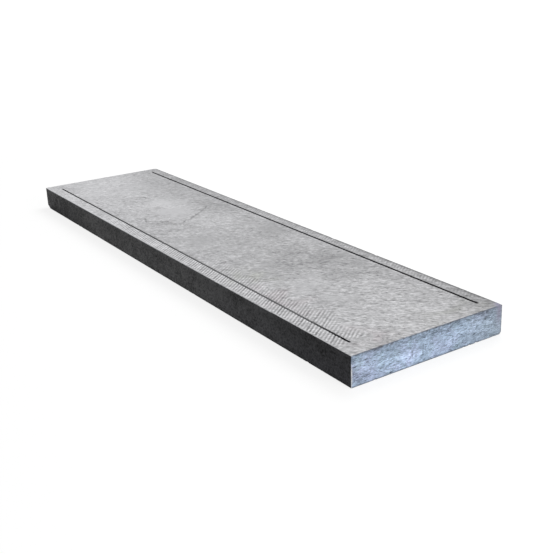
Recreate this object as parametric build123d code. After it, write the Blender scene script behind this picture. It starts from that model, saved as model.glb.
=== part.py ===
# A window sill sawn from one slab of blue-grey limestone, lying with its grooved broad face up.
# X runs along the sill, Y from its dark front edge to its back edge, and Z up.
# The origin is the middle of the face it lies on. Sizes are in millimetres.
from build123d import *
import math
import os

# The slab as it left the saw
LENGTH = 1200.0
WIDTH = 300.0
THICKNESS = 50.0

# Edges are eased with a rubbing block: more on the face that shows than on the one it lies on
TOP_ARRIS = 1.6
BOTTOM_ARRIS = 1.0
UPRIGHT_ARRIS = 1.0

# Two drip grooves, each one pass of a round blade that is lowered, driven along and lifted
KERF_WIDTH = 4.0
GROOVE_DEPTH = 8.0
BLADE_RADIUS = 175.0
BLADE_CORNER = 1.0
FRONT_GROOVE_INSET = 28.0
FRONT_STOP_LEFT = 35.0
FRONT_STOP_RIGHT = 36.0
BACK_GROOVE_INSET = 26.0
BACK_STOP_LEFT = 26.0
BACK_STOP_RIGHT = 26.0

# Corners knocked in handling: how far each break runs back along X, along Y and along Z. The knock on the
# back right corner left two shallow faces, a tall one in the sawn end and a flat one on top
BACK_RIGHT_END_BREAK = (2.5, 13.0, 26.0)
BACK_RIGHT_TOP_BREAK = (14.0, 13.0, 1.5)
BACK_RIGHT_FOOT_BREAK = (4.0, 6.0, 3.5)
BACK_LEFT_TOP_BREAK = (6.0, 7.0, 6.0)
FRONT_LEFT_FOOT_BREAK = (12.0, 10.0, 7.0)

FRONT_Y = -WIDTH / 2
BACK_Y = WIDTH / 2
LEFT_X = -LENGTH / 2
RIGHT_X = LENGTH / 2


def sawn_slab():
    """The sawn block with its twelve edges eased."""
    slab = Box(LENGTH, WIDTH, THICKNESS, align=(Align.CENTER, Align.CENTER, Align.MIN))
    slab = chamfer(slab.edges().filter_by(Axis.Z), UPRIGHT_ARRIS)
    slab = chamfer(slab.faces().sort_by(Axis.Z)[-1].edges(), TOP_ARRIS)
    slab = chamfer(slab.faces().sort_by(Axis.Z)[0].edges(), BOTTOM_ARRIS)
    return slab


def blade_pass(groove_y, stop_left, stop_right):
    """The space swept by the blade in one groove.

    Seen from the front it is a long slot as high as the blade, whose round ends leave the bottom of the
    groove rising to the face in an arc. The stops are measured from the ends of the slab to where the
    groove runs out on the face.
    """
    run_out = math.sqrt(2 * BLADE_RADIUS * GROOVE_DEPTH - GROOVE_DEPTH**2)
    travel = LENGTH - stop_left - stop_right - 2 * run_out
    middle_x = (stop_left - stop_right) / 2
    axle_z = THICKNESS - GROOVE_DEPTH + BLADE_RADIUS
    side_view = Plane.XZ * SlotCenterToCenter(travel, 2 * BLADE_RADIUS)
    sweep = extrude(side_view, amount=KERF_WIDTH / 2, both=True)
    sweep = fillet(sweep.edges().filter_by(lambda edge: edge.length > KERF_WIDTH * 2), BLADE_CORNER)
    return Pos(middle_x, groove_y, axle_z) * sweep


def broken_corner(corner, reach):
    """The chip that a knock takes off: the tetrahedron between the corner and three points on its edges.

    Each reach is measured along one edge, from the corner towards the middle of the slab. The chip stands a
    little outside the slab, so that its own three outer faces never lie on the faces of the slab.
    """
    middle = Vector(0, 0, THICKNESS / 2)
    tip = Vector(*corner)
    inward = [math.copysign(1, m - t) for m, t in zip(middle, tip)]
    outside = 1.0 + max(TOP_ARRIS, BOTTOM_ARRIS, UPRIGHT_ARRIS)
    grown = 1 + outside * sum(1 / step for step in reach)
    apex = tip - Vector(*inward) * outside
    ends = []
    for axis in range(3):
        step = [0.0, 0.0, 0.0]
        step[axis] = inward[axis] * reach[axis] * grown
        ends.append(apex + Vector(*step))
    sides = [(apex, ends[0], ends[1]), (apex, ends[1], ends[2]), (apex, ends[2], ends[0]), tuple(ends)]
    return Solid(Shell([Face(Wire.make_polygon(side, close=True)) for side in sides]))


def stone_sill():
    """The eased slab, less its two grooves and what the knocks on four corners took off."""
    sill = sawn_slab()
    sill -= blade_pass(FRONT_Y + FRONT_GROOVE_INSET, FRONT_STOP_LEFT, FRONT_STOP_RIGHT)
    sill -= blade_pass(BACK_Y - BACK_GROOVE_INSET, BACK_STOP_LEFT, BACK_STOP_RIGHT)
    sill -= broken_corner((RIGHT_X, BACK_Y, THICKNESS), BACK_RIGHT_END_BREAK)
    sill -= broken_corner((RIGHT_X, BACK_Y, THICKNESS), BACK_RIGHT_TOP_BREAK)
    sill -= broken_corner((RIGHT_X, BACK_Y, 0), BACK_RIGHT_FOOT_BREAK)
    sill -= broken_corner((LEFT_X, BACK_Y, THICKNESS), BACK_LEFT_TOP_BREAK)
    sill -= broken_corner((LEFT_X, FRONT_Y, 0), FRONT_LEFT_FOOT_BREAK)
    return sill.solid()


os.makedirs("parts", exist_ok=True)
export_step(stone_sill(), "parts/stone_sill.step")
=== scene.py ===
import math
import bpy
import numpy as np
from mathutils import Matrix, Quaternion, Vector


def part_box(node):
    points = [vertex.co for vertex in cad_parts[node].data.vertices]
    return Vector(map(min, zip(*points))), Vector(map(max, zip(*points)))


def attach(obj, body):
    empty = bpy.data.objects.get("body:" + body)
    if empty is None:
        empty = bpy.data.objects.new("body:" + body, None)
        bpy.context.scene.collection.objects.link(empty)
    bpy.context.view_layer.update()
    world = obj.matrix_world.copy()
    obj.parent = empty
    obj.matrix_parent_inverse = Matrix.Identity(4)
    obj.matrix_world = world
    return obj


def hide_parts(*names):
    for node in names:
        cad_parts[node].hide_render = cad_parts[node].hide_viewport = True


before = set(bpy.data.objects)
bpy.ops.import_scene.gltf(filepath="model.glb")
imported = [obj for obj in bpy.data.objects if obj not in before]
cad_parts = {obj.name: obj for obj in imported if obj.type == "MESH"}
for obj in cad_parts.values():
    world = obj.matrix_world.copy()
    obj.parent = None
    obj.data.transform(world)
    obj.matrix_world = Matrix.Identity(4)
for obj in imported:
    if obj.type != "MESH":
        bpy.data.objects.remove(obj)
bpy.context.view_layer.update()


# The camera stands off the near right corner of the sill, a little over knee height, and looks down
# along it. It was held slightly off level, and the lens is a short telephoto on a 36 mm wide frame.
camera_eye = Vector((1.4548, -0.8270, 0.5788))
camera_aim = Vector((0.2208, -0.0191, 0.0249))
camera_roll = math.radians(-2.10)
camera_lens = 56.70

camera_data = bpy.data.cameras.new("photo_camera")
camera_data.sensor_width = 36.0
camera_data.lens = camera_lens
camera = bpy.data.objects.new("photo_camera", camera_data)
turned = (camera_aim - camera_eye).to_track_quat("-Z", "Y") @ Quaternion((0, 0, 1), camera_roll)
camera.location = camera_eye
camera.rotation_mode = "QUATERNION"
camera.rotation_quaternion = turned
bpy.context.collection.objects.link(camera)
bpy.context.scene.camera = camera


# The broad face carries the work: two drip grooves cut with a round blade, and along the front edge a
# band of slanting chisel furrows. It is one sheet of points that follows the furrows from front to back.
slab_low, slab_high = (np.array(corner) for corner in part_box("stone_sill"))
length, width, thickness = slab_high - slab_low
top_arris = 0.0016
bottom_arris = 0.0010
upright_arris = 0.0010

kerf_half = 0.0020
groove_depth = 0.0080
blade_radius = 0.1750
groove_stops = {"front": (0.035, 0.036), "back": (0.026, 0.026)}
groove_lines = {"front": slab_low[1] + 0.028, "back": slab_high[1] - 0.026}

furrow_pitch = 0.0058
furrow_normal = np.array([0.8, 0.6])
furrow_depth = 0.00055
steps_in_furrow = 5
straighten_within = 0.036
band_back = -0.075
field_back = 0.095
back_band = 0.105


def waves(points, size, count, seed):
    """Uneven ground: the sum of sine waves in random directions, scaled to a spread of about 1.

    Each wave is sin(2 pi (p . d / w + a)), where d is its direction, a its start, and w a length
    between 0.7 and 1.4 of the size asked for.
    """
    rng = np.random.default_rng(seed)
    direction = rng.normal(size=(points.shape[-1], count))
    direction /= np.linalg.norm(direction, axis=0)
    turns = direction / (size * rng.uniform(0.7, 1.4, count))
    return np.sin(2 * np.pi * (points @ turns + rng.random(count))).sum(-1) * math.sqrt(2 / count)


def ease(value, start, end):
    """0 before start and 1 after end, joined by 3 t^2 - 2 t^3."""
    t = np.clip((value - start) / (end - start), 0, 1)
    return t * t * (3 - 2 * t)


def groove_cut(x, side):
    """Depth of a groove at each x: full along the blade's travel, and at each end the blade's own arc.

    Beyond the last place of the axle the blade reaches depth - (R - sqrt(R^2 - s^2)), with s the
    distance past the axle, until that is nothing.
    """
    left, right = groove_stops[side]
    run_out = math.sqrt(2 * blade_radius * groove_depth - groove_depth**2)
    past = np.abs(x - (left - right) / 2) - ((length - left - right) / 2 - run_out)
    past = np.clip(past, 0, run_out)
    return np.clip(groove_depth - blade_radius + np.sqrt(blade_radius**2 - past**2), 0, None)


# Rows run along the sill. Eleven of them shape each groove: they stand close at its mouth and walls.
kerf_rows = kerf_half * np.array([-1.5, -1.14, -1.0, -0.94, -0.6, 0, 0.6, 0.94, 1.0, 1.14, 1.5])
kerf_share = np.array([0, 0, 0.02, 0.86, 0.98, 1, 0.98, 0.86, 0.02, 0, 0])
front_kerf = groove_lines["front"] + kerf_rows
back_kerf = groove_lines["back"] + kerf_rows
row_y = np.concatenate([
    np.linspace(slab_low[1] + top_arris, front_kerf[0], 6, endpoint=False),
    front_kerf,
    np.linspace(front_kerf[-1], band_back, 11)[1:],
    np.linspace(band_back, field_back, 15)[1:],
    np.linspace(field_back, back_kerf[0], 6)[1:-1],
    back_kerf,
    np.linspace(back_kerf[-1], slab_high[1] - top_arris, 8)[1:],
])
row_cut = {side: np.zeros(len(row_y)) for side in groove_lines}
for side, line in groove_lines.items():
    in_groove = np.abs(row_y - line) <= kerf_rows[-1] + 1e-9
    row_cut[side][in_groove] = kerf_share

# Stations run across it, five to a furrow. They lean with the furrows in the bands along both edges,
# lean back between them, and straighten up towards the ends.
sheet_half = length / 2 - top_arris
furrow_count = round(2 * sheet_half * furrow_normal[0] / furrow_pitch)
station = np.linspace(-sheet_half, sheet_half, furrow_count * steps_in_furrow + 1)
half_slope = furrow_normal[1] / furrow_normal[0] / 2
front_lean = half_slope * (band_back - slab_low[1])
back_lean = half_slope * (slab_high[1] - back_band)
lean_rows = [slab_low[1], band_back, 0, back_band, slab_high[1]]
lean = np.interp(row_y, lean_rows, [front_lean, -front_lean, 0, back_lean, -back_lean])
lean_share = np.clip((sheet_half - np.abs(station)) / straighten_within, 0, 1)
sheet_x = station + lean[:, None] * lean_share
sheet_y = np.broadcast_to(row_y[:, None], sheet_x.shape)
sheet_x = sheet_x + 0.0003 * waves(np.stack([sheet_x, sheet_y], -1), 0.030, 20, seed=9) * lean_share
plan = np.stack([sheet_x, sheet_y], -1)

# The chisel worked the front margin nearly all along, ran on behind the groove towards the right end,
# and touched the back margin lightly. Each pair of numbers says between which two places the furrows
# set in or die out: from the front edge, from the ends, along the sill or across it.
margin_dies_out = (0.026, 0.032)
band_dies_out = (0.056, 0.068)
edge_sets_in = (0.001, 0.004)
end_sets_in = (0.030, 0.048)
first_marks_set_in = (-0.50, -0.46)
first_marks_die_out = (-0.41, -0.38)
margin_sets_in = (-0.34, -0.20)
band_sets_in = (0.08, 0.26)
back_margin_sets_in = (0.128, 0.132)

from_front = sheet_y - slab_low[1]
from_end = length / 2 - np.abs(sheet_x)
in_margin = 1 - ease(from_front, *margin_dies_out)
first_marks = ease(sheet_x, *first_marks_set_in) * (1 - ease(sheet_x, *first_marks_die_out))
margin = in_margin * (ease(sheet_x, *margin_sets_in) + 0.6 * first_marks)
behind = (1 - in_margin) * ease(sheet_x, *band_sets_in)
behind *= 1 - ease(from_front + 0.005 * waves(plan, 0.060, 20, seed=11), *band_dies_out)
pressure = np.clip(0.95 + 0.16 * waves(plan, 0.035, 20, seed=12), 0.3, 1.3)
light_pressure = 0.45 * np.clip(0.8 + 0.3 * waves(plan, 0.060, 20, seed=13), 0, 1)
furrow_here = (margin + 0.75 * behind) * pressure + ease(sheet_y, *back_margin_sets_in) * light_pressure
furrow_here *= ease(from_end, *end_sets_in) * ease(from_front, *edge_sets_in)

# Each furrow is one hump of sin^2 across, and each blow went a little deeper or less deep than the last.
turn = np.arange(len(station)) / steps_in_furrow
blow = np.random.default_rng(5).normal(1, 0.16, furrow_count + 1)[turn.astype(int)]
furrow_shape = np.sin(math.pi * turn) ** 2 * blow

sheet_z = slab_high[2] - furrow_depth * furrow_here * furrow_shape
sheet_z -= 0.00008 * np.abs(waves(plan, 0.045, 24, seed=21))
sheet_z -= 0.00005 * np.abs(waves(plan, 0.012, 24, seed=22))

# The grooves go in row by row, with nicks along their mouths. The dust and painted shade of the back
# one reach out to its lips. Nicks, dust and painted shade fade where the blade ran out, each below a
# depth of its own.
lip_darkened = {"front": 0.0, "back": 0.8}
nicked_below = 0.0020
darkened_below = 0.0010
in_cut = np.zeros_like(sheet_x)
for side in groove_lines:
    mouth = np.isin(np.round(np.abs(row_y - groove_lines[side]) / kerf_half, 2), (1.0, 1.14))[:, None]
    darkened = np.maximum(row_cut[side][:, None] > 0, mouth * lip_darkened[side])
    depth = groove_cut(sheet_x, side)
    nick = 0.00012 + 0.0005 * np.clip(waves(plan * [1, 0], 0.007, 24, seed=31) - 0.9, 0, 1.5)
    sheet_z -= depth * row_cut[side][:, None] + nick * mouth * np.clip(depth / nicked_below, 0, 1)
    in_cut += np.clip(depth / darkened_below, 0, 1) * darkened


# The four narrow sides are carried round the slab's plan outline, from the eased top edge down to the
# bottom one. The front is honed, and the ends and the back are as the saw left them, slightly wavy.
front_step, end_step, back_step = 0.0020, 0.00165, 0.0032
side_rows = 17


def side_points(start, end, step):
    """Points from start to end about one step apart, with both ends left in."""
    count = round(float(np.linalg.norm(np.subtract(end, start))) / step)
    return np.linspace(start, end, count + 1)


def plan_outline():
    """The outline seen from above: four straight sides joined by quarter circles of the upright arris.

    It starts at the front left and goes round by the right end. It gives each point, the way it faces
    and which side it is on: 0 front, 1 right end, 2 back, 3 left end. A corner is on the side after it.
    """
    inner = np.array([length / 2, width / 2]) - upright_arris
    sides = [
        (0, (-inner[0], -width / 2), (inner[0], -width / 2), front_step),
        (1, (length / 2, -inner[1]), (length / 2, inner[1]), end_step),
        (2, (inner[0], width / 2), (-inner[0], width / 2), back_step),
        (3, (-length / 2, inner[1]), (-length / 2, -inner[1]), back_step),
    ]
    corners = [(inner[0], -inner[1]), (inner[0], inner[1]), (-inner[0], inner[1]), (-inner[0], -inner[1])]
    points, facings, kinds = [], [], []
    for (kind, start, end, step), corner in zip(sides, corners):
        straight = side_points(start, end, step)
        angle = math.pi / 2 * (kind - 1)
        facing = np.array([math.cos(angle), math.sin(angle)])
        bend = angle + np.linspace(0, math.pi / 2, 5)[1:-1]
        around = np.stack([np.cos(bend), np.sin(bend)], -1)
        points += [straight, np.array(corner) + upright_arris * around]
        facings += [np.tile(facing, (len(straight), 1)), around]
        kinds += [np.full(len(straight), kind), np.full(len(around), (kind + 1) % 4)]
    return np.concatenate(points), np.concatenate(facings), np.concatenate(kinds)


outline, outward, side_kind = plan_outline()

# The rings from the top down: round the eased top edge, down the flat of the side and round the eased
# bottom edge. The last one stops just short of the bed, so that its corners keep a radius.
top_bend = np.radians([72, 48, 24, 0])
bottom_bend = np.radians([30, 60, 80])
ring_inset = np.concatenate([
    top_arris * (1 - np.cos(top_bend)),
    np.zeros(side_rows),
    bottom_arris * (1 - np.cos(bottom_bend)),
])
ring_z = np.concatenate([
    thickness - top_arris * (1 - np.sin(top_bend)),
    np.linspace(thickness - top_arris, bottom_arris, side_rows + 1)[1:],
    bottom_arris * (1 - np.sin(bottom_bend)),
])
ring_xy = outline - ring_inset[:, None, None] * outward
rings = np.concatenate([ring_xy, np.broadcast_to(ring_z[:, None, None], ring_xy.shape[:2] + (1,))], -1)

sawn = (side_kind > 0).astype(float)
unevenness = 0.00008 * waves(rings, 0.050, 24, seed=41) * (0.4 + 0.6 * sawn)
unevenness += 0.00013 * waves(rings, 0.011, 30, seed=42) * sawn
unevenness += 0.00008 * waves(rings, 0.0045, 30, seed=43) * sawn
unevenness = np.abs(unevenness) * ease(ring_z, 0, 0.002)[:, None]
rings[..., :2] -= unevenness[..., None] * outward

bed_inset = 0.012
bed_x = np.linspace(bed_inset - length / 2, length / 2 - bed_inset, 97)
bed_y = np.linspace(bed_inset - width / 2, width / 2 - bed_inset, 24)
bed = np.stack(np.meshgrid(bed_x, bed_y, [slab_low[2]], indexing="ij"), -1)[:, :, 0]


def rim(grid):
    """The indices of a grid's outer points in order, going round from its first row."""
    return np.concatenate([grid[0], grid[1:, -1], grid[-1, -2::-1], grid[-2:0:-1, 0]])


def way_round(points, half_x, half_y):
    """How far round the plan each point is, from 0 to 4: one for each side of the rectangle."""
    x, y = points[:, 0] / half_x, points[:, 1] / half_y
    on_side = [-y >= np.abs(x), x >= np.abs(y), y >= np.abs(x)]
    return np.select(on_side, [(x + 1) / 2, 1 + (y + 1) / 2, 2 + (1 - x) / 2], 3 + (1 - y) / 2)


def stitch(outer, outer_way, inner, inner_way):
    """Triangles between two closed rows of points, taking a step on whichever row is behind.

    Both rows are sorted by the way round, so the steps of the two rows merge in one sort, and each
    step makes a triangle with the point that the other row has reached.
    """
    outer = outer[np.argsort(outer_way)]
    inner = inner[np.argsort(inner_way)]
    ways = np.concatenate([np.sort(outer_way), np.sort(inner_way)])
    on_outer = (np.arange(len(ways)) < len(outer))[np.argsort(ways, kind="stable")]
    o = np.cumsum(on_outer) - 1
    i = np.cumsum(~on_outer) - 1
    last_o, last_i = np.roll(o, 1), np.roll(i, 1)
    last_o[0], last_i[0] = len(outer) - 1, len(inner) - 1
    last_o, last_i = last_o % len(outer), last_i % len(inner)
    third = np.where(on_outer, outer[o % len(outer)], inner[i % len(inner)])
    return np.stack([outer[last_o], third, inner[last_i]], -1)


# All points of the stone in one list: the broad face, the sides and the face it lies on.
sheet = np.stack([sheet_x, sheet_y, sheet_z], -1)
stone = np.concatenate([sheet.reshape(-1, 3), rings.reshape(-1, 3), bed.reshape(-1, 3)])
sheet_at = np.arange(sheet[..., 0].size).reshape(sheet.shape[:2])
ring_at = sheet_at.size + np.arange(rings[..., 0].size).reshape(rings.shape[:2])
bed_at = sheet_at.size + ring_at.size + np.arange(bed[..., 0].size).reshape(bed.shape[:2])


def strips(grid):
    """The four-sided faces of a grid of point numbers, with rows to the right of columns."""
    return np.stack([grid[:-1, :-1], grid[:-1, 1:], grid[1:, 1:], grid[1:, :-1]], -1).reshape(-1, 4)


closed_rings = np.concatenate([ring_at, ring_at[:, :1]], 1)[::-1]
top_faces = strips(sheet_at)
side_faces = strips(closed_rings)
bed_faces = strips(bed_at)
sheet_rim, bed_rim = rim(sheet_at), rim(bed_at)
outline_way = way_round(outline, length / 2, width / 2)
sheet_way = way_round(plan.reshape(-1, 2)[sheet_rim], sheet_half, row_y[-1])
bed_way = way_round(stone[bed_rim], bed_x[-1], bed_y[-1])
top_seam = stitch(ring_at[0], outline_way, sheet_rim, sheet_way)
bed_seam = stitch(ring_at[-1], outline_way, bed_rim, bed_way)[:, ::-1]

faces = top_faces.tolist() + side_faces.tolist() + bed_faces.tolist() + top_seam.tolist() + bed_seam.tolist()


# Handling has knocked four corners off and nibbled the long edges. Whatever lies beyond the plane of a
# break is pushed back onto it, and the fresh face is rough.
corner_breaks = [
    ((1, 1, 1), (0.0009, 0.013, 0.026)),
    ((1, 1, 1), (0.016, 0.013, 0.0010)),
    ((1, 1, -1), (0.004, 0.006, 0.0035)),
    ((-1, 1, 1), (0.006, 0.007, 0.006)),
    ((-1, -1, -1), (0.012, 0.010, 0.007)),
]
middle = (slab_low + slab_high) / 2
half = (slab_high - slab_low) / 2
broken = np.zeros(len(stone))
edge_tone = np.zeros(len(stone))


def break_back(points, facing, depth):
    """Push the points that lie beyond a plane back onto it, and say how far beyond each one was.

    The plane stands square to facing, the given depth inside the slab's corner or edge on that side.
    """
    facing = np.array(facing, float)
    outermost = middle + half * np.sign(facing)
    normal = facing / np.linalg.norm(facing)
    beyond = (points - outermost) @ normal + depth
    points -= np.clip(beyond, 0, None)[:, None] * normal
    return beyond


# Each edge: which way it faces, how far it is rubbed down, how deep its chips go, how pale (above 0) or
# dark (below 0) the stone is along it at the left and at the right, and how far in that reaches. The pale
# front right upright is a painted highlight, and the dark back right upright and bottom edges are painted
# shade.
edges = [
    ((0, -1, 1), 0.00062, 0.0007, 0.75, 0.10, 0.0020),
    ((1, 0, 1), 0.00070, 0.0013, -0.90, -0.90, 0.0007),
    ((0, 1, 1), 0.00062, 0.0007, -0.85, -1.00, 0.0032),
    ((-1, 0, 1), 0.00062, 0.0006, -0.20, -0.20, 0.0006),
    # The front right upright: a painted highlight.
    ((1, -1, 0), 0.00042, 0.0005, 1.00, 1.00, 0.0008),
    # The back right upright: painted shade.
    ((1, 1, 0), 0.00042, 0.0006, -0.75, -0.75, 0.0030),
    ((-1, -1, 0), 0.00042, 0.0004, -0.50, -0.50, 0.0006),
    # The three bottom edges: painted shade where the stone meets the floor.
    ((0, -1, -1), 0.00040, 0.0005, -0.90, -0.90, 0.0006),
    ((1, 0, -1), 0.00042, 0.0006, -0.85, -0.85, 0.0013),
    ((0, 1, -1), 0.00040, 0.0005, -0.30, -0.30, 0.0006),
]
for edge, (facing, rubbed, bite, at_left, at_right, inward) in enumerate(edges):
    chip = np.clip(waves(stone, 0.008, 30, seed=60 + edge) - 0.8, 0, 1.6)
    patch = np.clip(0.6 + 0.6 * waves(stone, 0.070, 20, seed=80 + edge), 0, 1.6)
    beyond = break_back(stone, facing, rubbed + bite * chip * patch)
    tone = at_left + (at_right - at_left) * ease(stone[:, 0], -length / 2, length / 2)
    along = tone * ease(beyond, -inward, 0.0001)
    edge_tone = np.where(np.abs(along) > np.abs(edge_tone), along, edge_tone)

for corner, reach in corner_breaks:
    facing = np.array(corner) / np.array(reach)
    depth = 1 / np.linalg.norm(facing)
    rough = 0.07 * waves(stone, 0.004, 30, seed=51) + 0.10 * waves(stone, 0.011, 20, seed=52)
    beyond = break_back(stone, facing, depth * (1 + rough))
    broken = np.maximum(broken, ease(beyond, -0.02 * depth, 0.12 * depth))

# The stone beside the back right upright is bruised to the same violet grey, less and less towards the
# foot, while the upright itself keeps its painted shade, as dark as the back rim.
bruise_middle = 0.007
bruise_reach = 0.006
off_back_right = np.hypot(stone[:, 0] - length / 2, stone[:, 1] - width / 2)
bruise = 0.9 * np.exp(-(((off_back_right - bruise_middle) / bruise_reach) ** 2))
broken = np.maximum(broken, bruise * ease(stone[:, 2], 0.004, 0.042))
broken *= ease(off_back_right, 0.0005, 0.0040)

# The painted highlight along the front right upright stops short of the top, where a nick has left it dark.
on_front_right = np.hypot(stone[:, 0] - length / 2, stone[:, 1] + width / 2) < 0.003
edge_tone[on_front_right] *= 1 - 1.3 * ease(stone[on_front_right, 2], 0.033, 0.041)

stone[:, 2] = np.clip(stone[:, 2], slab_low[2], None)

stone_mesh = bpy.data.meshes.new("dressed_sill")
stone_mesh.from_pydata(stone.tolist(), [], faces)
sill = bpy.data.objects.new("dressed_sill", stone_mesh)
bpy.context.collection.objects.link(sill)
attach(sill, "root")
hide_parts("stone_sill")


# Limestone of one block shows four finishes here: the pale dressed face, the dark honed front, the blue
# sawn ends, and the plain sawn back and bed. All of them share one kind of mottling and one edge wear,
# which carries a painted highlight and painted shade along some edges.
def keep(name, values):
    """Store one number for each point of the stone, for its materials to read."""
    stone_mesh.attributes.new(name, "FLOAT", "POINT").data.foreach_set("value", values.astype(np.float32))


def on_sheet(values):
    """Values of the broad face, with nothing on the rest of the stone."""
    return np.concatenate([values.ravel(), np.zeros(len(stone) - values.size)])


# Patches in the broad face: middle and reach along and across the sill, how much lighter
# (above 0) or darker they are, how smooth, from 0 to 1, and how pink (above 0) or green (below 0).
patches = [
    (-0.333, 0.075, 0.050, 0.040, -0.100, 0.3, 0.0),
    (-0.365, 0.030, 0.030, 0.035, -0.050, 0.0, 0.0),
    (-0.345, -0.042, 0.035, 0.030, -0.080, 0.0, 0.0),
    (-0.190, 0.088, 0.040, 0.030, -0.070, 0.0, 0.0),
    (-0.137, -0.060, 0.030, 0.028, -0.080, 0.0, 0.0),
    (-0.512, -0.060, 0.110, 0.060, 0.090, 0.5, 0.0),
    (-0.200, -0.010, 0.050, 0.038, 0.045, 1.0, 0.0),
    (-0.265, 0.018, 0.050, 0.036, 0.045, 1.0, 0.0),
    (-0.450, 0.030, 0.090, 0.050, 0.030, 0.6, 0.0),
    (0.027, 0.088, 0.050, 0.030, -0.070, 0.5, 0.0),
    (0.020, -0.057, 0.055, 0.045, -0.040, 0.8, 0.0),
    (0.270, 0.080, 0.040, 0.035, -0.130, 0.3, 0.0),
    (0.240, 0.005, 0.055, 0.108, -0.260, 0.0, 0.0),
    (0.030, 0.085, 0.080, 0.050, -0.090, 0.2, 0.0),
    (0.090, -0.005, 0.075, 0.050, -0.130, 0.2, 0.0),
    (0.160, 0.040, 0.050, 0.040, -0.100, 0.0, 0.0),
    (0.330, 0.050, 0.060, 0.060, -0.120, 0.0, 0.0),
    (-0.160, 0.060, 0.055, 0.045, -0.090, 0.0, 0.0),
    (0.570, 0.085, 0.045, 0.075, -0.200, 0.0, 0.0),
    (0.345, 0.033, 0.025, 0.020, -0.070, 0.3, 0.0),
    (0.205, -0.030, 0.030, 0.022, 0.060, 0.9, 0.0),
    (0.330, -0.045, 0.055, 0.028, 0.070, 0.7, 0.0),
    (0.432, -0.031, 0.022, 0.015, 0.070, 1.0, 0.0),
    (0.480, 0.030, 0.120, 0.090, 0.050, 0.0, 0.0),
    (0.250, -0.090, 0.040, 0.022, -0.020, 0.0, -0.8),
    (0.365, -0.110, 0.060, 0.022, 0.000, 0.0, 0.8),
    (0.572, -0.085, 0.022, 0.025, 0.000, 0.0, 1.0),
    (0.575, 0.075, 0.020, 0.040, 0.000, 0.0, -0.6),
]
wander = np.stack([0.016 * waves(plan, 0.07, 20, seed=91), 0.012 * waves(plan, 0.05, 20, seed=92)], -1)
cloud, calm, tint = np.zeros((3,) + sheet_x.shape)
for patch_x, patch_y, reach_x, reach_y, lighter, smooth, pink in patches:
    far = (plan + wander - [patch_x, patch_y]) / [reach_x, reach_y]
    here = np.exp(-(far**2).sum(-1))
    cloud += lighter * here
    calm = np.maximum(calm, smooth * here)
    tint += pink * here

# Slow changes of tone: how much lighter or darker, and between which two places along the sill and across
# it each one sets in. Where the second place is the lower one, it sets in towards the left or the front.
everywhere = (-2.0, -1.0)
slow_changes = [
    (0.150, (0.25, -0.55), (0.100, 0.000)),
    (0.070, (0.10, -0.20), (-0.116, -0.126)),
    (0.070, (-0.30, -0.10), (-0.118, -0.124)),
    (-0.056, (0.05, 0.30), (-0.118, -0.124)),
    (-0.080, everywhere, (0.020, 0.120)),
    (-0.100, everywhere, (0.134, 0.146)),
    (-0.070, (-0.15, -0.30), (0.124, 0.132)),
    (-0.080, (-0.05, 0.50), (0.120, 0.135)),
    (-0.380, (-0.45, 0.35), (0.141, 0.149)),
]
for lighter, along, across in slow_changes:
    cloud += lighter * ease(sheet_x, *along) * ease(sheet_y, *across)

# The same for the right end: middle and reach along and up it, and how much lighter or darker.
end_patches = [
    (-0.072, 0.009, 0.034, 0.012, 0.62),
    (-0.140, 0.008, 0.014, 0.012, -0.20),
    (-0.130, 0.043, 0.022, 0.008, 0.28),
    (-0.065, 0.043, 0.022, 0.008, -0.12),
    (0.080, 0.037, 0.040, 0.013, 0.17),
    (0.005, 0.033, 0.014, 0.007, -0.14),
    (0.090, 0.005, 0.035, 0.007, -0.13),
    (0.128, 0.044, 0.014, 0.008, -0.16),
    (0.018, 0.010, 0.040, 0.008, 0.14),
]
on_end = stone[:, 0] > length / 2 - top_arris / 4
end_cloud = np.zeros(len(stone))
for patch_y, patch_z, reach_y, reach_z, lighter in end_patches:
    far = (stone[:, 1:] - [patch_y, patch_z]) / [reach_y, reach_z]
    end_cloud += lighter * np.exp(-(far**2).sum(-1)) * on_end

keep("edge_tone", edge_tone)
keep("broken", broken)
keep("cloud", on_sheet(cloud) + end_cloud)
keep("calm", on_sheet(np.maximum(calm, 0.4 * np.clip(furrow_here, 0, 1))))
keep("tint", on_sheet(tint))
keep("furrow", on_sheet(furrow_here * (0.5 - furrow_shape)))
keep("cut", on_sheet(in_cut))


def node(tree, kind, inputs=(), **settings):
    """Add one shader node. Settings go on the node, and inputs are values or sockets by name or number."""
    made = tree.nodes.new("ShaderNode" + kind)
    for name, value in settings.items():
        setattr(made, name, value)
    for key, value in dict(inputs).items():
        if isinstance(value, bpy.types.NodeSocket):
            tree.links.new(value, made.inputs[key])
        else:
            made.inputs[key].default_value = value
    return made


def combine(tree, operation, *values, clamp=False):
    """Join numbers one after another by one operation, and give the last result."""
    result = values[0]
    for value in values[1:]:
        result = node(tree, "Math", {0: result, 1: value}, operation=operation, use_clamp=clamp).outputs[0]
    return result


def times_plus(tree, value, factor, extra):
    """A value times a factor, plus something."""
    return node(tree, "Math", {0: value, 1: factor, 2: extra}, operation="MULTIPLY_ADD").outputs[0]


def spread(tree, value, low, high, to_low=0.0, to_high=1.0):
    """Map a value between low and high onto another stretch, with nothing beyond it."""
    inputs = {"Value": value, "From Min": low, "From Max": high, "To Min": to_low, "To Max": to_high}
    return node(tree, "MapRange", inputs).outputs[0]


def blend(tree, share, first, second):
    """Mix two colours: all first at a share of 0, all second at 1."""
    return node(tree, "Mix", {0: share, 6: first, 7: second}, data_type="RGBA").outputs[2]


def shade(tree, colour, *tones):
    """A colour times one or more tones."""
    tone = combine(tree, "MULTIPLY", *tones)
    return node(tree, "VectorMath", {0: colour, "Scale": tone}, operation="SCALE").outputs[0]


def moved(tree, place, step):
    """The same place, a step away."""
    return node(tree, "VectorMath", {0: place, 1: step}, operation="ADD").outputs[0]


def read(tree, name):
    """The value that each point of the stone keeps under this name."""
    return node(tree, "Attribute", attribute_name=name).outputs["Fac"]


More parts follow.
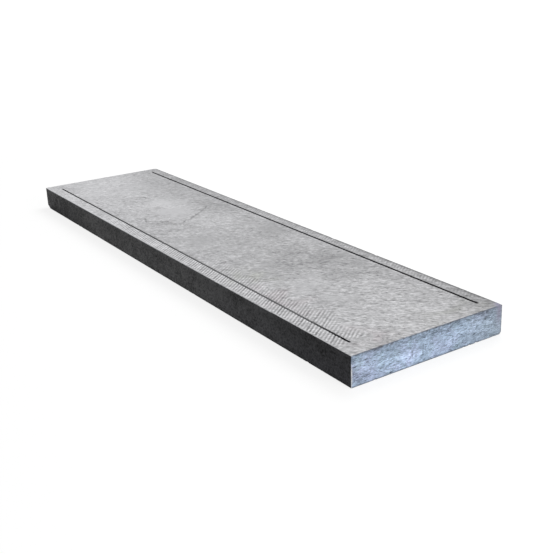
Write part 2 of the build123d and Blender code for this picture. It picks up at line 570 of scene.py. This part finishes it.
def noise(tree, place, size, detail=3.0, roughness=0.55, twist=0.0):
    """Noise of a given size in metres, from -1 to 1 about nothing."""
    scale = combine(tree, "DIVIDE", 1.0, size)
    inputs = {"Vector": place, "Scale": scale, "Detail": detail, "Roughness": roughness, "Distortion": twist}
    return spread(tree, node(tree, "TexNoise", inputs).outputs[0], 0.25, 0.75, -1.0, 1.0)


def start_group(name, inputs, outputs):
    """A node group whose sockets are given by name and kind. Gives it with its two ends."""
    group = bpy.data.node_groups.new(name, "ShaderNodeTree")
    for in_out, sockets in (("INPUT", inputs), ("OUTPUT", outputs)):
        for socket, kind in sockets.items():
            group.interface.new_socket(socket, in_out=in_out, socket_type="NodeSocket" + kind)
    given = group.nodes.new("NodeGroupInput").outputs
    return group, given, group.nodes.new("NodeGroupOutput").inputs


# Mottling: soft clouds, blotches, thin crooked strokes where a noise crosses its middle, and grain. Each
# has a size in metres and an amount.
marks = ("Cloud", "Blotch", "Stroke", "Grain")
mark_sockets = {mark + measure: "Float" for mark in marks for measure in (" size", "")}
mottling, given, gives = start_group(
    "stone_mottling", {"Vector": "Vector", **mark_sockets}, {"Tone": "Float", "Height": "Float"})
place = given["Vector"]
far_place = moved(mottling, place, (7.3, 2.9, 5.1))
soft = noise(mottling, place, given["Cloud size"], detail=2.0)
blotch = noise(mottling, far_place, given["Blotch size"], roughness=0.6)
strokes = []
for where in (place, far_place):
    crossing = noise(mottling, where, given["Stroke size"], detail=2.0, roughness=0.5, twist=0.8)
    crossing = node(mottling, "Math", {0: crossing}, operation="ABSOLUTE").outputs[0]
    strokes.append(spread(mottling, crossing, 0.0, 0.16, 1.0, 0.0))
stroke = combine(mottling, "SUBTRACT", *strokes)
grain = noise(mottling, place, given["Grain size"], detail=2.0, roughness=0.7)
parts = [
    combine(mottling, "MULTIPLY", part, given[mark])
    for part, mark in zip((soft, blotch, stroke, grain), marks)
]
mottling.links.new(combine(mottling, "ADD", 1.0, *parts), gives["Tone"])
mottling.links.new(combine(mottling, "ADD", *parts[1:]), gives["Height"])

# A crooked place: the same place pushed about by a noise, so that a straight line drawn on it wanders.
crooked, given, gives = start_group(
    "crooked_place", {"Vector": "Vector", "Scale": "Float", "Reach": "Float"}, {"Vector": "Vector"})
push = {"Vector": given["Vector"], "Scale": given["Scale"], "Detail": 3.0}
push = moved(crooked, node(crooked, "TexNoise", push).outputs["Color"], (-0.5, -0.5, -0.5))
push = node(crooked, "VectorMath", {0: push, "Scale": given["Reach"]}, operation="SCALE").outputs[0]
crooked.links.new(moved(crooked, given["Vector"], push), gives["Vector"])

# A hairline: full on the line between two points, and gone at its width from it. The nearest point of the
# line lies a share of (p - s) . (e - s) / (e - s) . (e - s) along it, kept from 0 to 1.
hairline, given, gives = start_group(
    "hairline",
    {"Vector": "Vector", "Start": "Vector", "End": "Vector", "Width": "Float"},
    {"Mask": "Float"},
)
origin = given["Start"]
to_point = node(hairline, "VectorMath", {0: given["Vector"], 1: origin}, operation="SUBTRACT").outputs[0]
to_end = node(hairline, "VectorMath", {0: given["End"], 1: origin}, operation="SUBTRACT").outputs[0]
along_line = [
    node(hairline, "VectorMath", {0: way, 1: to_end}, operation="DOT_PRODUCT").outputs["Value"]
    for way in (to_point, to_end)
]
share = combine(hairline, "DIVIDE", *along_line, clamp=True)
foot = node(hairline, "VectorMath", {0: to_end, "Scale": share}, operation="SCALE").outputs[0]
gap = node(hairline, "VectorMath", {0: to_point, 1: foot}, operation="DISTANCE").outputs["Value"]
hairline.links.new(spread(hairline, gap, 0.0, given["Width"], 1.0, 0.0), gives["Mask"])

# Edge wear and painted light: pale or dark edges, with a painted highlight on one and painted shade on
# others, and fresh breaks, laid over the colour of a finish.
edge_wear_and_light, given, gives = start_group(
    "edge_wear_and_light", dict.fromkeys(("Colour", "Pale", "Shaded dark", "Fresh"), "Color"), {"Colour": "Color"})
tone = read(edge_wear_and_light, "edge_tone")
colour = blend(edge_wear_and_light, spread(edge_wear_and_light, tone, 0.0, 1.0), given["Colour"], given["Pale"])
colour = blend(edge_wear_and_light, spread(edge_wear_and_light, tone, 0.0, -1.0), colour, given["Shaded dark"])
colour = blend(edge_wear_and_light, read(edge_wear_and_light, "broken"), colour, given["Fresh"])
edge_wear_and_light.links.new(colour, gives["Colour"])


def stone_material(name, roughness, bump, specular, sizes, amounts):
    """A finish of the stone: its mottling gives the tone, the height of the bump and the roughness.

    The sizes and amounts are those of its clouds, blotches, strokes and grain. The roughness falls by
    0.35 of what the tone rises, so pale spots are a little smoother. Gives the tree, the mottling node
    and the place on the stone.
    """
    material = bpy.data.materials.new(name)
    material.use_nodes = True
    stone_mesh.materials.append(material)
    tree = material.node_tree
    shader = tree.nodes["Principled BSDF"]
    place = node(tree, "TexCoord").outputs["Object"]
    mottled = node(tree, "Group", node_tree=mottling)
    tree.links.new(place, mottled.inputs["Vector"])
    for mark, size, amount in zip(marks, sizes, amounts):
        mottled.inputs[mark + " size"].default_value = size
        mottled.inputs[mark].default_value = amount
    rough = times_plus(tree, mottled.outputs["Tone"], -0.35, roughness + 0.35)
    tree.links.new(rough, shader.inputs["Roughness"])
    raised = node(tree, "Bump", {"Strength": 1.0, "Distance": bump, "Height": mottled.outputs["Height"]})
    tree.links.new(raised.outputs[0], shader.inputs["Normal"])
    shader.inputs["Specular IOR Level"].default_value = specular
    return tree, mottled, place


def wear_light_and_hand_over(tree, colour, pale, shaded_dark, fresh):
    """Lay the worn edges, with their painted highlight and shade, over a colour, and hand it to the shader.
    """
    colours = {"Colour": colour, "Pale": pale, "Shaded dark": shaded_dark, "Fresh": fresh}
    worn = node(tree, "Group", colours, node_tree=edge_wear_and_light).outputs["Colour"]
    tree.links.new(worn, tree.nodes["Principled BSDF"].inputs["Base Color"])


def cracks(tree, place, lines, width):
    """The mask of a set of hairlines: 1 on their middle and 0 from their width on."""
    mask = 0.0
    for start, end in lines:
        line = {"Vector": place, "Start": start, "End": end, "Width": width}
        mask = combine(tree, "MAXIMUM", mask, node(tree, "Group", line, node_tree=hairline).outputs["Mask"])
    return mask


# Edge colours: pale, dark with painted shade, and fresh breaks.
pale_edge = (0.78, 0.79, 0.82, 1)
shaded_dark_edge = (0.16, 0.16, 0.17, 1)
fresh_break = (0.285, 0.280, 0.365, 1)

# The broad face: pale grey, smoother at the left and more broken up at the right, where all its marks but
# the clouds grow. Its smooth patches lose most of them. All of them are drawn out on a slant.
pale_grey = (0.485, 0.485, 0.498, 1)
pinkish_grey = (0.505, 0.478, 0.497, 1)
greenish_grey = (0.478, 0.487, 0.462, 1)
mark_sizes = (0.080, 0.018, 0.011, 0.0042)
amounts_left = (0.10, 0.085, 0.29, 0.34)
amounts_right = (0.165, 0.30, 0.46)
grow_between = (-0.25, 0.40)
smooth_loses = 0.85
mark_slant = math.radians(53)
mark_stretch = 2.3
tree, mottled, place = stone_material(
    "dressed_face", roughness=0.62, bump=0.0006, specular=0.30, sizes=mark_sizes, amounts=amounts_left)
parts = node(tree, "SeparateXYZ", {0: place}).outputs
rough_here = times_plus(tree, read(tree, "calm"), -smooth_loses, 1.0)
for mark, at_left, at_right in zip(marks[1:], amounts_left[1:], amounts_right):
    amount = spread(tree, parts["X"], *grow_between, at_left, at_right)
    tree.links.new(combine(tree, "MULTIPLY", rough_here, amount), mottled.inputs[mark])
drawn_out = {"Vector": place, "Rotation": (0, 0, mark_slant), "Scale": (mark_stretch, 1.0, 1.0)}
slanting = node(tree, "Mapping", drawn_out, vector_type="TEXTURE").outputs[0]
tree.links.new(slanting, mottled.inputs["Vector"])

# Fine dark veins cross its left half, now plainer and now fainter. Each is a row of places along and
# across the sill, drawn one by one. The height of a place doesn't count, so it is made nothing.
veins = [
    ((-0.195, 0.074), (-0.168, 0.044), (-0.150, 0.024), (-0.139, 0.005), (-0.126, -0.005), (-0.129, -0.016),
     (-0.114, -0.030), (-0.115, -0.045), (-0.124, -0.055), (-0.146, -0.076), (-0.161, -0.093)),
    ((-0.143, -0.050), (-0.166, -0.070), (-0.170, -0.086), (-0.196, -0.077)),
    ((-0.110, -0.038), (-0.131, -0.052), (-0.146, -0.060)),
    ((-0.358, -0.004), (-0.333, 0.004)),
    ((-0.316, 0.074), (-0.315, 0.088)),
    ((-0.252, 0.057), (-0.232, 0.075)),
]
vein_lines = [((*a, 0.0), (*b, 0.0)) for vein in veins for a, b in zip(vein, vein[1:])]
vein_width = 0.0034
vein_darkness = 0.58
wandering = {"Vector": place, "Scale": 130.0, "Reach": 0.012}
wandering = node(tree, "Group", wandering, node_tree=crooked).outputs["Vector"]
flat = node(tree, "VectorMath", {0: wandering, 1: (1.0, 1.0, 0.0)}, operation="MULTIPLY").outputs[0]
vein_mask = cracks(tree, flat, vein_lines, vein_width)
plainer = spread(tree, noise(tree, place, 0.012, detail=2.0), -1.2, 0.3)
veined = times_plus(tree, combine(tree, "MULTIPLY", vein_mask, plainer), -vein_darkness, 1.0)

# Its colour, with the dust and painted shadow of the furrows. The grooves hold dust and painted shade: the
# front one is darker at the left than towards the right, the back one is dark, and both are darkest, in
# painted shade, where the blade ran out.
dusty_shaded_cut = (0.150, 0.152, 0.160, 1)
paler_shaded_cut = (0.370, 0.372, 0.380, 1)
dark_shaded_cut = (0.040, 0.041, 0.046, 1)
darkest_shaded_cut = (0.012, 0.012, 0.016, 1)
furrow_contrast = 0.85
clouded = combine(tree, "ADD", 1.0, read(tree, "cloud"))
tooled = times_plus(tree, read(tree, "furrow"), furrow_contrast, 1.0)
colour = blend(tree, spread(tree, read(tree, "tint"), 0.0, 1.0), pale_grey, pinkish_grey)
colour = blend(tree, spread(tree, read(tree, "tint"), 0.0, -1.0), colour, greenish_grey)
colour = shade(tree, colour, mottled.outputs["Tone"], clouded, tooled, veined)
off_middle = node(tree, "Math", {0: parts["X"]}, operation="ABSOLUTE").outputs[0]
at_back = spread(tree, parts["Y"], -0.01, 0.01)
cut = blend(tree, spread(tree, parts["X"], -0.35, 0.10), dusty_shaded_cut, paler_shaded_cut)
cut = blend(tree, at_back, cut, dark_shaded_cut)
run_out_starts = times_plus(tree, at_back, -0.26, 0.46)
cut = blend(tree, spread(tree, off_middle, run_out_starts, 0.54), cut, darkest_shaded_cut)
colour = blend(tree, read(tree, "cut"), colour, cut)
wear_light_and_hand_over(tree, colour, pale_edge, shaded_dark_edge, fresh_break)

# The front edge: honed, nearly black, bluish towards the right, with painted shade that makes it darkest
# at the left end and painted light that makes it paler towards its foot. A pale streak stands upright near
# the left end.
honed_black = (0.043, 0.043, 0.044, 1)
bluish_black = (0.020, 0.020, 0.023, 1)
darkest_shaded_black = (0.007, 0.007, 0.008, 1)
streak_colour = (0.15, 0.15, 0.15, 1)
streak_x = -0.520
streak_width = 0.006
streak_share = 0.35
tree, mottled, place = stone_material(
    "honed_front", roughness=0.50, bump=0.00012, specular=0.16,
    sizes=(0.150, 0.024, 0.014, 0.0035), amounts=(0.16, 0.30, 0.36, 0.75))
parts = node(tree, "SeparateXYZ", {0: place}).outputs
colour = blend(tree, spread(tree, parts["X"], 0.10, 0.60), honed_black, bluish_black)
colour = blend(tree, spread(tree, parts["X"], -0.30, -0.50), colour, darkest_shaded_black)
paler_below_lit = spread(tree, parts["Z"], 0.010, 0.040, 1.58, 0.82)
colour = shade(tree, colour, mottled.outputs["Tone"], paler_below_lit)
streak_line = ((streak_x, slab_low[1], 0.020), (streak_x, slab_low[1], 0.036))
streak = cracks(tree, place, [streak_line], streak_width)
colour = blend(tree, combine(tree, "MULTIPLY", streak, streak_share), colour, streak_colour)
# Its edge colours: pale, dark with painted shade, and fresh breaks.
pale_on_black = (0.10, 0.10, 0.11, 1)
shaded_dark_on_black = (0.004, 0.004, 0.005, 1)
fresh_on_black = (0.16, 0.16, 0.18, 1)
wear_light_and_hand_over(tree, colour, pale_on_black, shaded_dark_on_black, fresh_on_black)

# The sawn ends: pale blue-grey with lilac and greenish tints, darker along the top and duller towards the
# back, with three short dark pits. The layers of the stone lie flat in the block, so its marks are drawn
# out along the end.
pale_blue = (0.412, 0.522, 0.668, 1)
lilac_blue = (0.460, 0.518, 0.705, 1)
greenish_blue = (0.392, 0.528, 0.590, 1)
dull_blue = (0.345, 0.412, 0.488, 1)
layering = (1.0, 0.38, 1.30)
pit_width = 0.0022
pit_darkness = 0.55
tree, mottled, place = stone_material(
    "sawn_end", roughness=0.72, bump=0.0012, specular=0.30,
    sizes=(0.050, 0.011, 0.008, 0.0028), amounts=(0.18, 0.30, 0.38, 0.47))
layered = node(tree, "VectorMath", {0: place, 1: layering}, operation="MULTIPLY").outputs[0]
tree.links.new(layered, mottled.inputs["Vector"])
parts = node(tree, "SeparateXYZ", {0: place}).outputs
lilac = spread(tree, noise(tree, place, 0.035, detail=2.0), -0.2, 0.7, 0.1, 0.8)
colour = blend(tree, lilac, pale_blue, lilac_blue)
far_place = moved(tree, place, (3.1, 4.7, 1.9))
green = spread(tree, noise(tree, far_place, 0.022, detail=2.0), 0.15, 0.9, 0.0, 0.4)
colour = blend(tree, green, colour, greenish_blue)
colour = blend(tree, spread(tree, parts["Y"], 0.045, 0.140, 0.0, 0.75), colour, dull_blue)
darker_above = spread(tree, parts["Z"], 0.032, 0.049, 1.0, 0.70)
clouded = combine(tree, "ADD", 1.02, read(tree, "cloud"))
pits = [
    ((-0.036, 0.012), (-0.037, 0.026)),
    ((-0.016, 0.014), (-0.015, 0.029)),
    ((0.044, 0.016), (0.046, 0.021)),
]
pit_lines = [((length / 2, *top), (length / 2, *foot)) for foot, top in pits]
wandering = {"Vector": place, "Scale": 150.0, "Reach": 0.006}
wandering = node(tree, "Group", wandering, node_tree=crooked).outputs["Vector"]
pitted = times_plus(tree, cracks(tree, wandering, pit_lines, pit_width), -pit_darkness, 1.0)
colour = shade(tree, colour, mottled.outputs["Tone"], darker_above, clouded, pitted)
# Its edges: a painted highlight along the front right upright, and dark ones with painted shade.
highlight_on_blue = (0.92, 0.93, 0.95, 1)
shaded_dark_on_blue = (0.13, 0.14, 0.17, 1)
wear_light_and_hand_over(tree, colour, highlight_on_blue, shaded_dark_on_blue, fresh_break)

# The back and the bed: plain sawn stone, middling grey.
plain_grey = (0.34, 0.35, 0.37)
tree, mottled, _ = stone_material(
    "sawn_plain", roughness=0.70, bump=0.0006, specular=0.30,
    sizes=(0.120, 0.022, 0.016, 0.003), amounts=(0.08, 0.12, 0.13, 0.14))
colour = shade(tree, plain_grey, mottled.outputs["Tone"])
wear_light_and_hand_over(tree, colour, pale_edge, shaded_dark_edge, fresh_break)

# Which face wears which finish. The dressed one laps over the top edge of the front by one ring of faces,
# and by two all along its left and middle.
dressed, honed, sawn_blue, sawn_grey = range(4)
lapped_to = 0.40
finish_of_side = np.array([honed, sawn_blue, sawn_grey, sawn_blue])
side_finish = np.tile(finish_of_side[side_kind], (len(ring_at) - 1, 1))
side_finish[-1:, side_kind == 0] = dressed
side_finish[-2:, (side_kind == 0) & (outline[:, 0] < lapped_to)] = dressed
face_finish = np.concatenate([
    np.full(len(top_faces), dressed),
    side_finish.ravel(),
    np.full(len(bed_faces), sawn_grey),
    np.full(len(top_seam), dressed),
    np.full(len(bed_seam), sawn_grey),
])
stone_mesh.polygons.foreach_set("material_index", face_finish.astype(np.int32))
stone_mesh.shade_smooth()
stone_mesh.set_sharp_from_angle(angle=math.radians(40))


# The studio: a pale floor that goes on to where nobody sees its end, an even white sky, a large soft
# lamp above and behind the sill, and a weaker one off its right end.
floor_half = 40.0
floor_corners = [(-1, -1), (1, -1), (1, 1), (-1, 1)]
floor_mesh = bpy.data.meshes.new("studio_floor")
floor_mesh.from_pydata([(x * floor_half, y * floor_half, 0) for x, y in floor_corners], [], [(0, 1, 2, 3)])
floor = bpy.data.objects.new("studio_floor", floor_mesh)
bpy.context.collection.objects.link(floor)

# The floor lights the stone as pale grey paint does. The camera sees it darker under a glow of its own,
# which makes it white, all but the object's shadow, and grows to full white a few metres away.
lighting_grey = (0.80, 0.80, 0.80, 1)
seen_grey = (0.25, 0.25, 0.25, 1)
near_glow = 0.795
glow_grows_between = (1.2, 5.0)
paint = bpy.data.materials.new("studio_floor")
paint.use_nodes = True
tree = paint.node_tree
shader = tree.nodes["Principled BSDF"]
shader.inputs["Roughness"].default_value = 0.9
shader.inputs["Specular IOR Level"].default_value = 0.0
seen = node(tree, "LightPath").outputs["Is Camera Ray"]
paint_colour = blend(tree, seen, lighting_grey, seen_grey)
tree.links.new(paint_colour, shader.inputs["Base Color"])
place = node(tree, "TexCoord").outputs["Object"]
away = node(tree, "VectorMath", {0: place}, operation="LENGTH").outputs["Value"]
glow = combine(tree, "MULTIPLY", seen, spread(tree, away, *glow_grows_between, near_glow, 1.0))
lift = node(tree, "Emission", {"Color": (1, 1, 1, 1), "Strength": glow})
both = node(tree, "AddShader", {0: shader.outputs[0], 1: lift.outputs[0]})
tree.links.new(both.outputs[0], tree.nodes["Material Output"].inputs["Surface"])
floor_mesh.materials.append(paint)

# The sky is white where the camera or a reflection sees it, and lights the stone at about half of that.
sky_light = 0.52
sky = bpy.data.worlds.new("studio_sky")
sky.use_nodes = True
tree = sky.node_tree
seen = node(tree, "LightPath").outputs
shown = combine(tree, "MAXIMUM", seen["Is Camera Ray"], seen["Is Glossy Ray"])
tree.nodes["Background"].inputs["Color"].default_value = (1, 1, 1, 1)
tree.links.new(spread(tree, shown, 0.0, 1.0, sky_light, 1.0), tree.nodes["Background"].inputs["Strength"])
bpy.context.scene.world = sky

# Each lamp: where it stands, the width of its disk in metres, and its power in watts.
lamps = [
    ("key_lamp", (-0.6, 1.5, 2.4), 1.6, 32.0),
    ("end_lamp", (3.0, 0.4, 1.1), 1.4, 28.0),
]
for name, stands, size, watts in lamps:
    lamp_data = bpy.data.lights.new(name, "AREA")
    lamp_data.shape = "DISK"
    lamp_data.size = size
    lamp_data.energy = watts
    lamp = bpy.data.objects.new(name, lamp_data)
    lamp.location = stands
    lamp.rotation_euler = (-Vector(stands)).to_track_quat("-Z", "Y").to_euler()
    bpy.context.collection.objects.link(lamp)

bpy.context.scene.view_settings.view_transform = "Standard"
